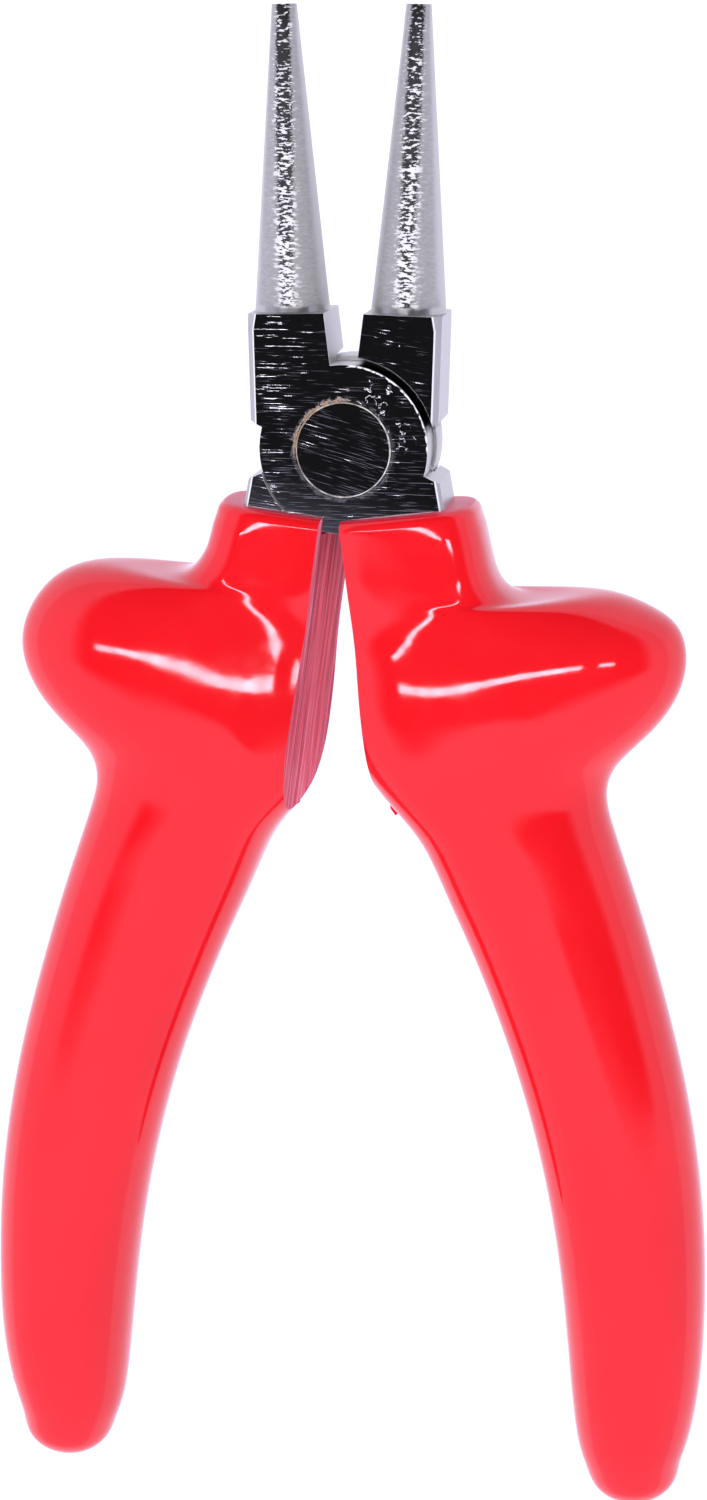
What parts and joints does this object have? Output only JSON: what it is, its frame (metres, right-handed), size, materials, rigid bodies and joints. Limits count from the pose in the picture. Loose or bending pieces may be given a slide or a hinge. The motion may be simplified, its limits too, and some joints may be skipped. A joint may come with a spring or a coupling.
{
  "type": "round nose pliers",
  "caption": "Round nose pliers: two lap-jointed steel levers with tapering cone jaws on a flush rivet, in thick glossy grips with thumb guards.",
  "frame": {"origin": "centre of the rivet's front face", "axes": "+Y along the tool towards the jaw tips, +Z out of the front face along the pivot, +X to the right"},
  "size_m": [0.0768, 0.1571, 0.0182],
  "materials": {
    "steel": "ground faces, satin sides",
    "rivet_steel": "ground flush",
    "grip": "glossy dipped PVC",
    "base_coat": "matte first coat"
  },
  "bodies": {
    "front_half": {"front_lever": "steel", "rivet": "rivet_steel", "front_grip_base_coat": "base_coat", "front_grip": "grip"},
    "rear_half": {"rear_lever": "steel", "rear_grip_base_coat": "base_coat", "rear_grip": "grip"}
  },
  "joints": [
    {"name": "pivot", "type": "hinge", "parent": "front_half", "child": "rear_half", "pos_m": [0, 0, -0.0048], "axis": [0, 0, -1], "range_deg": [-14.1, 30]}
  ]
}
